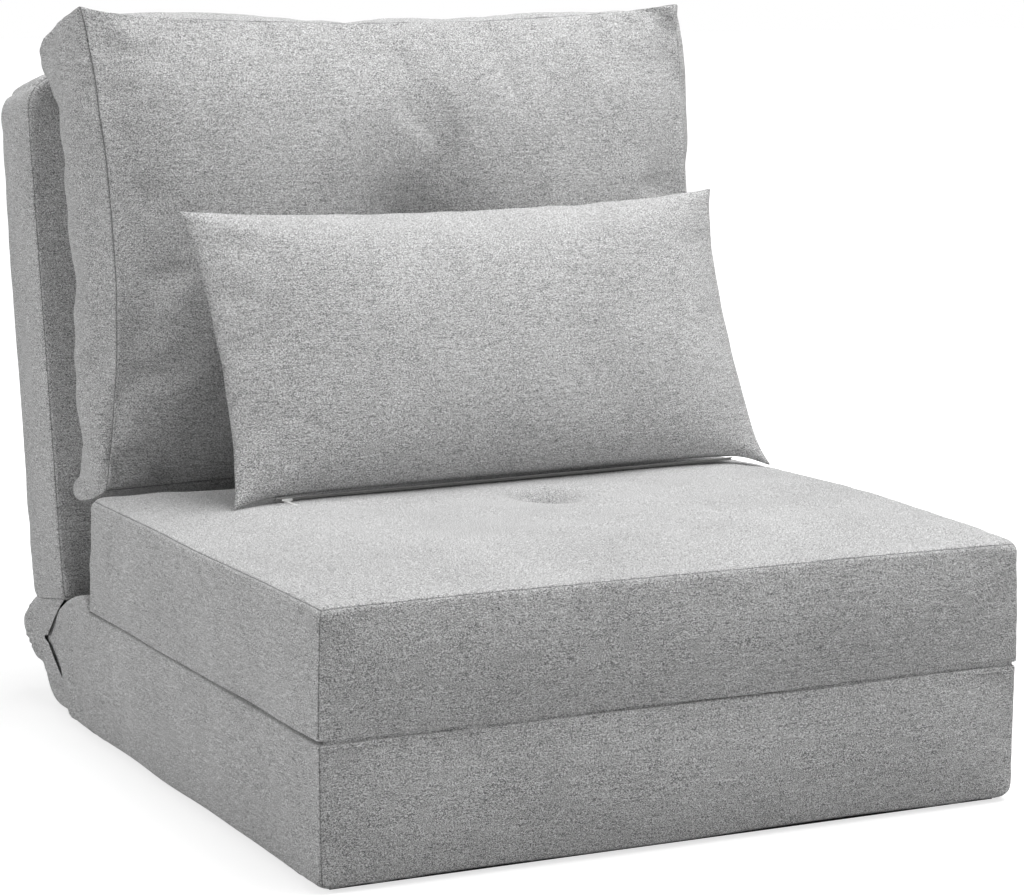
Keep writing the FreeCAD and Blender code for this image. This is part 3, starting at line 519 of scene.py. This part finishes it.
def back_shape(point, s, t, v):
    """The backrest slab, upright: bowed faces, and top corners turned to a larger radius."""
    corner = 0.042
    front_bulge = 0.004
    rear_bulge = 0.002
    push = Vector((0, 0, 0))
    push.y -= front_bulge * bow(s, 4) * bow(2 * v - 1, 4) * max(0.0, -t)
    push.y += rear_bulge * bow(s, 4) * bow(2 * v - 1, 4) * max(0.0, t)
    x = abs(point.x) - (BACK_HALF - corner)
    z = point.z - (BACK_TOP - corner)
    if x > 0 and z > 0:
        scale = max(x, z) / math.hypot(x, z)
        push.x -= math.copysign(x * (1 - scale), point.x)
        push.z -= z * (1 - scale)
    return point + push


def make_backrest():
    """The backrest slab in its lean."""
    back, index, counts = block(
        "backrest_slab", (-BACK_HALF, -BACK_THICK, BACK_LOW), (BACK_HALF, BACK_THICK, BACK_TOP),
        radii=(SOFT, SOFT), shape=back_shape, seed=3)
    for vertex in back.data.vertices:
        vertex.co = leaned(*vertex.co)
    back.data.update()
    seam = edge_seams(index, counts)
    puff_block(back, seam)
    faced = {vertex for key, vertex in index.items() if key[1] in (0, counts[1])}
    sew(back, [vertex for vertex in seam if vertex in faced], BLOCK_SEAM)
    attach(back, "backrest")
    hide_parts("backrest_cover", "backrest_front_foam", "backrest_rear_foam")


# The back cushion in the backrest's lean: back, lower and upper edge, half width, tuft and place across
CUSHION_BACK = 0.0576
CUSHION_LOW = 0.164
CUSHION_HIGH = 0.646
CUSHION_HALF = 0.338
CUSHION_TUFT = 0.408
CUSHION_RIGHT = 0.005

# Its thickness along the front seam, low and high, and its front's crown at the sides and in the middle
EDGE_LOW = 0.097
EDGE_HIGH = 0.148
FULL_SIDE = 0.036
FULL_MIDDLE = 0.060

# How far its outline departs from a plain box: shares of its width, then lengths
DRAWN_LEFT = 0.036
DRAWN_RIGHT = 0.010
TUCKED_BEHIND = 0.085
NARROWER_LOW = 0.010
SIDE_ROUND = 0.010
TOP_SAG = 0.009
REAR_DROP = 0.044
TOP_ROUND = 0.005
FOOT_ROUND = 0.009
EAR_OUT = 0.003
EAR_UP = 0.006
REAR_LIFT = 0.016


def cushion_place(x, w, u):
    """A point of the back cushion: x across, w from its back (0) to its front (1), u up the backrest."""
    s = x / CUSHION_HALF
    v = (u - CUSHION_LOW) / (CUSHION_HIGH - CUSHION_LOW)
    edge = EDGE_LOW + (EDGE_HIGH - EDGE_LOW) * v
    crown = FULL_SIDE + (FULL_MIDDLE - FULL_SIDE) * (1 - s * s)
    hump = 4 * v * (1 - v)
    belly = math.sin(math.pi * w)
    depth = w * (edge + crown * hump)
    tucked = (1 - abs(2 * v - 1) ** (2.5 if v > 0.5 else 8)) * (1 - w) ** 2
    drawn = DRAWN_LEFT if s < 0 else DRAWN_RIGHT
    side = CUSHION_RIGHT + x * (1 - drawn * hump - TUCKED_BEHIND * tucked - NARROWER_LOW * (1 - v))
    side += math.copysign(SIDE_ROUND, s) * belly * abs(s) ** 6
    pucker = waver(Vector((s, 0.1 * w, u)), size=0.034, amount=0.006, seed=15) * abs(s) ** 12
    side += pucker * belly
    height = u - TOP_SAG * (1 - s * s) * v * v - REAR_DROP * (1 - w) * v ** 3
    height += belly * (TOP_ROUND * v ** 6 - FOOT_ROUND * (1 - v) ** 6)
    ear = abs(s) ** 8 * w
    side += math.copysign(EAR_OUT, s) * ear * v ** 8
    height += EAR_UP * ear * v ** 8 + REAR_LIFT * (1 - w) ** 2 * (1 - v) ** 8
    if w > 0.999:
        away = math.hypot(x, u - CUSHION_TUFT)
        depth -= dimple(away, radius=0.15, depth=0.036)
    point = Vector((side, -(CUSHION_BACK + depth), height))
    point.x += waver(point, size=0.07, amount=0.004, seed=11)
    point.y += waver(point, size=0.08, amount=0.004, seed=12) * w
    point.z += waver(point, size=0.07, amount=0.003, seed=13)
    return leaned(*point)


def make_cushion():
    """The loose back cushion."""
    rounding = 0.008
    layers = 12
    tie_reach = 0.012
    xs = steps(-CUSHION_HALF, CUSHION_HALF, rounding)
    ws = [1.0, 0.97] + [1 - n / layers for n in range(1, layers)] + [0.03, 0.0]
    us = steps(CUSHION_LOW, CUSHION_HIGH, rounding)
    verts, faces, index, counts = lattice_shell(xs, ws, us, cushion_place)
    cushion = new_object("back_cushion_soft", verts, faces)
    seam = edge_seams(index, counts)
    held = []
    for (i, j, k), vertex in index.items():
        if j == counts[1]:
            held.append((vertex, 0.9))
        elif j == 0 and math.hypot(xs[i], us[k] - CUSHION_TUFT) < tie_reach:
            held.append((vertex, 1.0))
        elif i in (0, counts[0]) and k in (0, counts[2]):
            held.append((vertex, 0.9))
    puff(cushion, pressure=3.0, cap=0.014, held=held, shrunk=seam, shrink=0.06)
    sew(cushion, seam, CUSHION_SEAM)
    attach(cushion, "back_cushion")
    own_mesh(cushion)
    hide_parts("back_cushion_cover", "back_cushion_filling")


# The pillow upright: half width, height, crowns, and the zipper's half length and rise above the corners
PILLOW_HALF = 0.305
PILLOW_HEIGHT = 0.300
PILLOW_FRONT = 0.058
PILLOW_BACK = 0.048
ZIP_HALF = 0.271
ZIP_RISE = 0.008

# How far its outline departs from a rectangle
SIDE_DRAW = 0.016
LEFT_SAG = 0.004
RIGHT_SAG = 0.010
TOP_DIP = 0.010
CORNER_OUT = 0.008
CORNER_UP = 0.006


def pillow_place(s, v, side):
    """A point of the upright pillow: s runs across from -1 to 1 and v up from 0 to 1.

    The side is -1 for the front panel, 1 for the back panel and 0 for the edge between them.
    """
    hump = 4 * v * (1 - v)
    x = PILLOW_HALF * s - math.copysign(SIDE_DRAW, s) * hump * abs(s) ** 5
    low = ZIP_RISE * min(1.0, (1 - abs(s)) / (1 - ZIP_HALF / PILLOW_HALF))
    low -= LEFT_SAG * s ** 6 if s < 0 else RIGHT_SAG * s ** 12
    high = PILLOW_HEIGHT - TOP_DIP * (1 - s * s)
    z = low + (high - low) * v
    rim = max(abs(s), abs(2 * v - 1)) ** 16
    x += waver(Vector((s, 0, z)), size=0.030, amount=0.004, seed=51) * rim * abs(s)
    z += waver(Vector((x, 0, v)), size=0.040, amount=0.004, seed=52) * rim * v
    ear = abs(s) ** 10
    x += math.copysign(CORNER_OUT, s) * ear * abs(2 * v - 1) ** 8
    z += CORNER_UP * ear * v ** 8
    full = math.sqrt(max(0.0, 1 - abs(s) ** 2.6)) * math.sqrt(max(0.0, 1 - abs(2 * v - 1) ** 2.2))
    y = side * (PILLOW_FRONT if side < 0 else PILLOW_BACK) * full
    return Vector((x, y, z))


def pillow_world(point):
    """Take a point of the upright pillow to where the pillow leans on the seat."""
    turn = Matrix.Rotation(PILLOW_YAW, 4, "Z") @ Matrix.Rotation(-PILLOW_LEAN, 4, "X")
    return turn @ point + PILLOW_PLACE


def make_pillow():
    """The lumbar pillow: two panels sewn along their edges."""
    nx, nz = 60, 30
    index = {}
    verts = []
    faces = []
    held = []

    def at(i, k, side):
        border = i in (0, nx) or k in (0, nz)
        key = (i, k, 0 if border else side)
        if key not in index:
            index[key] = len(verts)
            verts.append(pillow_world(pillow_place(2 * i / nx - 1, k / nz, key[2])))
        return index[key]

    for i in range(nx):
        for k in range(nz):
            faces.append((at(i, k, -1), at(i + 1, k, -1), at(i + 1, k + 1, -1), at(i, k + 1, -1)))
            faces.append((at(i, k, 1), at(i, k + 1, 1), at(i + 1, k + 1, 1), at(i + 1, k, 1)))
    pillow = new_object("lumbar_pillow_soft", verts, faces)
    seam = [vertex for key, vertex in index.items() if key[2] == 0]
    for (i, k, side), vertex in index.items():
        if k == 0 or (k == nz and i in (0, nx)):
            held.append((vertex, 1.0))
        elif side == 1:
            held.append((vertex, 0.3))
    puff(pillow, pressure=4.0, cap=0.012, held=held, shrunk=seam, shrink=0.06)
    sew(pillow, seam, depth=0.0, mark=0.6)
    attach(pillow, "lumbar_pillow")
    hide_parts("lumbar_pillow_cover", "lumbar_pillow_filling")


# The point (y, z) that the boot's ends close on, and how far open they are at each ring
BOOT_HEART = (0.430, 0.072)
CLOSING = (0.99, 0.96, 0.90, 0.80, 0.68, 0.55, 0.42, 0.30, 0.18, 0.06)

# Upright pleats in the closed ends: depth, pitch and slant; then the size of a sheet's folds
PLEAT_DEPTH = 0.012
PLEAT_PITCH = 0.030
PLEAT_SLANT = 9
FOLD_SIZE = 0.05


def mirrored(middle, ends):
    """Places across a sheet from its left end to its right end, given its middle and its right end."""
    return [(-x, share, drop) for x, share, drop in reversed(ends)] + middle + ends


def across(half, count):
    """Even places across a sheet: (x, how far open it is there, how far it hangs down)."""
    return [(half * (2 * n / count - 1), 1.0, 0.0) for n in range(count + 1)]


def closed_across(half, gather, count):
    """Places across a sheet whose ends close like a bag's over a stretch, gather long."""
    inner = half - gather
    ends = [(inner + gather * (1 - share ** 4) ** 0.25, share, 0.0) for share in CLOSING]
    return mirrored(across(inner, count), ends)


def skirted_across(half, skirt, count):
    """Places across a sheet with a skirt that hangs down at each end."""
    rings = 5
    return mirrored(across(half, count), [(half, 1.0, skirt * n / rings) for n in range(1, rings + 1)])


def sheet_grid(name, rows, places, crumple, seed):
    """A cloth sheet over rows of (y, z) points and places across, with folds, and pleats in closed ends."""
    verts = []
    faces = []
    heart_y, heart_z = BOOT_HEART
    for n, (y, z) in enumerate(rows):
        free = math.sin(math.pi * n / (len(rows) - 1))
        for x, share, drop in places:
            point = Vector((x, heart_y + (y - heart_y) * share, heart_z + (z - heart_z) * share - drop))
            turn = 2 * math.pi * point.y / PLEAT_PITCH + PLEAT_SLANT * point.z
            pleat = PLEAT_DEPTH * math.sin(turn) * share * (1 - share ** 6)
            point.x += math.copysign(pleat * free, x)
            flat = Vector((x * 1.3, y, z))
            point.y += waver(flat, FOLD_SIZE, crumple * free, seed) * share
            point.z += waver(flat, FOLD_SIZE, crumple * free, seed + 3) * share
            verts.append(point)
    wide = len(places)
    for n in range(len(rows) - 1):
        for c in range(wide - 1):
            first = n * wide + c
            faces.append((first, first + 1, first + 1 + wide, first + wide))
    return new_object(name, verts, faces)


def arc_rows(start, crest, end, count):
    """Points on the parabola from start through crest, at its middle, to end, in the YZ plane."""
    rows = []
    for n in range(count + 1):
        t = n / count
        pull = 4 * t * (1 - t)
        y = start[0] + (end[0] - start[0]) * t + (crest[0] - (start[0] + end[0]) / 2) * pull
        z = start[1] + (end[1] - start[1]) * t + (crest[1] - (start[1] + end[1]) / 2) * pull
        rows.append((y, z))
    return rows


def rows_length(rows):
    """The length of a line of (y, z) points."""
    return sum(math.dist(a, b) for a, b in zip(rows, rows[1:]))


def make_boot():
    """The loose boot behind the hinges: a rear loop and a short top sheet."""
    columns = 120
    half = 0.343
    gather = 0.030
    parts = 6
    foot_y, foot_z = 0.3385, 0.0105
    run_length, run_rise = 0.0665, 0.0085
    bend = (0.405, 0.019)
    crest = (0.513, 0.066)
    under_y, under_z = 0.4690, 0.1180
    under_length, under_rise = 0.1060, 0.0175
    loop = [(foot_y + run_length * n / parts, foot_z + run_rise * (n / parts) ** 2) for n in range(parts)]
    loop += arc_rows(bend, crest, (under_y, under_z), 20)
    for n in range(1, parts + 1):
        loop.append((under_y - under_length * n / parts, under_z + under_rise * n / parts))
    boot = sheet_grid("hinge_boot_loop", loop, closed_across(half, gather, columns), crumple=0.010, seed=21)
    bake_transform(boot)
    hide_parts("hinge_boot")
    fullness = 1.06
    rows_length(loop) * fullness

    half = 0.329
    skirt = 0.055
    short = arc_rows((0.3375, 0.116), (0.358, 0.114), (0.378, 0.1242), 8)
    top = sheet_grid("hinge_boot_top", short, skirted_across(half, skirt, columns), crumple=0.003, seed=27)
    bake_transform(top)
    fullness = 1.02
    flat = (2 * half + 2 * skirt, rows_length(short) * fullness)


# Outlines of a flap's pad and of its lining, from front to rear: (y, foot, top)
PAD_OUTLINE = (
    (0.268, 0.006, 0.134), (0.282, 0.006, 0.145), (0.310, 0.006, 0.140), (0.333, 0.006, 0.132),
    (0.343, 0.010, 0.1275), (0.350, 0.026, 0.1225), (0.356, 0.048, 0.1205), (0.364, 0.060, 0.1155),
    (0.371, 0.070, 0.108), (0.376, 0.080, 0.099), (0.378, 0.086, 0.093),
)
LINING_OUTLINE = (
    (0.330, 0.010, 0.122), (0.360, 0.008, 0.117), (0.380, 0.007, 0.113), (0.404, 0.007, 0.109),
    (0.425, 0.012, 0.102), (0.442, 0.026, 0.090), (0.452, 0.046, 0.070),
)


def outline_heights(outline, y):
    """The foot and top of an outline at a distance y along it."""
    for (y0, foot0, top0), (y1, foot1, top1) in zip(outline, outline[1:]):
        if y <= y1:
            share = max(0.0, (y - y0) / (y1 - y0))
            return foot0 + (foot1 - foot0) * share, top0 + (top1 - top0) * share
    return outline[-1][1:]


def pad_shape(point, s, t, v):
    """A flap's pad: flush with the base's side where it leaves the base, and sunk into it further forward."""
    sunk_from, sunk_over = 0.330, 0.016
    base_top, top_over = 0.130, 0.010
    sink = 0.006
    foot, top = outline_heights(PAD_OUTLINE, point.y)
    z = foot + (top - foot) * v
    forward = min(1.0, max(0.0, (sunk_from - point.y) / sunk_over))
    below = min(1.0, max(0.0, (base_top - z) / top_over))
    inset = math.copysign(sink * forward * below, point.x)
    return Vector((point.x - inset, point.y, z))


def lining_shape(point, s, t, v):
    """A flap's lining, which reaches further back between the pad and the boot."""
    foot, top = outline_heights(LINING_OUTLINE, point.y)
    return Vector((point.x, point.y, foot + (top - foot) * v))


def make_flaps():
    """The padded flaps beside the hinges, each with its lining."""
    # name's ending, outline, shape, inner and outer face, edge radius
    layers = (
        ("_flap_soft", PAD_OUTLINE, pad_shape, 0.334, 0.3502, 0.005),
        ("_flap_lining", LINING_OUTLINE, lining_shape, 0.3315, 0.3400, 0.0015),
    )
    for side, sign in (("left", -1), ("right", 1)):
        for ending, outline, shape, inner, outer, radius in layers:
            low = (min(sign * inner, sign * outer), outline[0][0], outline[0][1])
            high = (max(sign * inner, sign * outer), outline[-1][0], outline[0][2])
            layer = block(side + ending, low, high, (radius, radius), shape, seed=1)[0]
            sew(layer, [], depth=0.0)
            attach(layer, "base")
            if shape is pad_shape:
                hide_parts(side + "_hinge_flap")


def make_strip():
    """The sewn strip in the valley between the two blocks."""
    low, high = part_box("flip_hinge_tape")
    front = (low.y + high.y) / 2
    overhang = 0.018
    half = high.x + overhang
    middle = (low.z + high.z) / 2
    count = 6
    row_height = 0.0009
    set_back = 0.002
    bulge = 0.003
    rows = []
    for n in range(-count, count + 1):
        rows.append((front + set_back - bulge * (n / count) ** 2, middle + row_height * n))
    strip = sheet_grid("flip_strip", rows, across(half, 100), crumple=0.0, seed=41)
    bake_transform(strip)
    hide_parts("flip_hinge_tape")
    rows_length(rows)


def finish_cad_nodes():
    """Procedural finishes on the CAD nodes that stay."""
    slots = {row["node"]: row["material_slot"] for row in frame["record"]["subparts"]}
    for name, shown in NODES.items():
        shown.data.materials.clear()
        shown.data.materials.append(SLOT_FINISH[slots[name]])


def area_light(name, place, target, size, power):
    """A soft box that looks at a point."""
    data = bpy.data.lights.new(name, "AREA")
    data.shape = "RECTANGLE"
    data.size, data.size_y = size
    data.energy = power
    lamp = bpy.data.objects.new(name, data)
    bpy.context.scene.collection.objects.link(lamp)
    lamp.location = place
    lamp.rotation_euler = (Vector(target) - Vector(place)).to_track_quat("-Z", "Y").to_euler()


def make_stage():
    """Floor, light, world and camera."""
    scene = bpy.context.scene
    mesh = bpy.data.meshes.new("floor")
    reach = 30.0
    corners = [(-reach, -reach, 0), (reach, -reach, 0), (reach, reach, 0), (-reach, reach, 0)]
    mesh.from_pydata(corners, [], [(0, 1, 2, 3)])
    floor = bpy.data.objects.new("floor", mesh)
    scene.collection.objects.link(floor)
    made, tree, shader = material("pale_floor")
    shader.inputs["Base Color"].default_value = (0.50, 0.50, 0.50, 1.0)
    shader.inputs["Roughness"].default_value = 0.9
    path = node(tree, "ShaderNodeLightPath")
    place = node(tree, "ShaderNodeTexCoord")
    away = node(tree, "ShaderNodeVectorMath", operation="LENGTH")
    tree.links.new(place.outputs["Object"], away.inputs[0])
    fade = node(tree, "ShaderNodeMapRange")
    fade.inputs["From Min"].default_value = 0.6
    fade.inputs["From Max"].default_value = 2.0
    fade.inputs["To Min"].default_value = 0.70
    fade.inputs["To Max"].default_value = 1.0
    tree.links.new(away.outputs["Value"], fade.inputs["Value"])
    glow = node(tree, "ShaderNodeEmission")
    mix = node(tree, "ShaderNodeAddShader")
    strength = math_node(tree, "MULTIPLY", path.outputs["Is Camera Ray"], fade.outputs[0])
    tree.links.new(strength, glow.inputs["Strength"])
    tree.links.new(shader.outputs[0], mix.inputs[0])
    tree.links.new(glow.outputs[0], mix.inputs[1])
    tree.links.new(mix.outputs[0], tree.nodes["Material Output"].inputs["Surface"])
    floor.data.materials.append(made)

    area_light("key", (0.9, -0.4, 3.0), target=(0, 0, 0.2), size=(2.6, 2.6), power=104)
    area_light("side", (-3.2, 0.5, 1.3), target=(0, 0, 0.25), size=(2.0, 1.6), power=38)
    area_light("front", (1.4, -3.2, 1.3), target=(0, 0, 0.25), size=(2.2, 1.6), power=8)

    world = bpy.data.worlds.new("studio")
    scene.world = world
    world.use_nodes = True
    sky = world.node_tree
    shell = sky.nodes["Background"]
    shell.inputs["Color"].default_value = (1.0, 1.0, 1.0, 1.0)
    path = node(sky, "ShaderNodeLightPath")
    seen = math_node(sky, "MAXIMUM", path.outputs["Is Camera Ray"], path.outputs["Is Glossy Ray"])
    seen = math_node(sky, "MAXIMUM", seen, path.outputs["Is Transmission Ray"])
    ambient = 0.20
    level = math_node(sky, "ADD", math_node(sky, "MULTIPLY", seen, 1 - ambient), ambient)
    sky.links.new(level, shell.inputs["Strength"])
    scene.view_settings.view_transform = "Standard"

    looks_down = 0.1523
    looks_right = 0.4522
    data = bpy.data.cameras.new("camera")
    data.sensor_width = 36.0
    data.lens = 110.1
    camera = bpy.data.objects.new("camera", data)
    scene.collection.objects.link(camera)
    camera.location = (-1.3082, -2.6732, 0.7663)
    camera.rotation_euler = (math.pi / 2 - looks_down, 0, -looks_right)
    scene.camera = camera


make_stage()
make_blocks()
make_backrest()
make_cushion()
make_pillow()
make_boot()
make_flaps()
make_strip()
finish_cad_nodes()
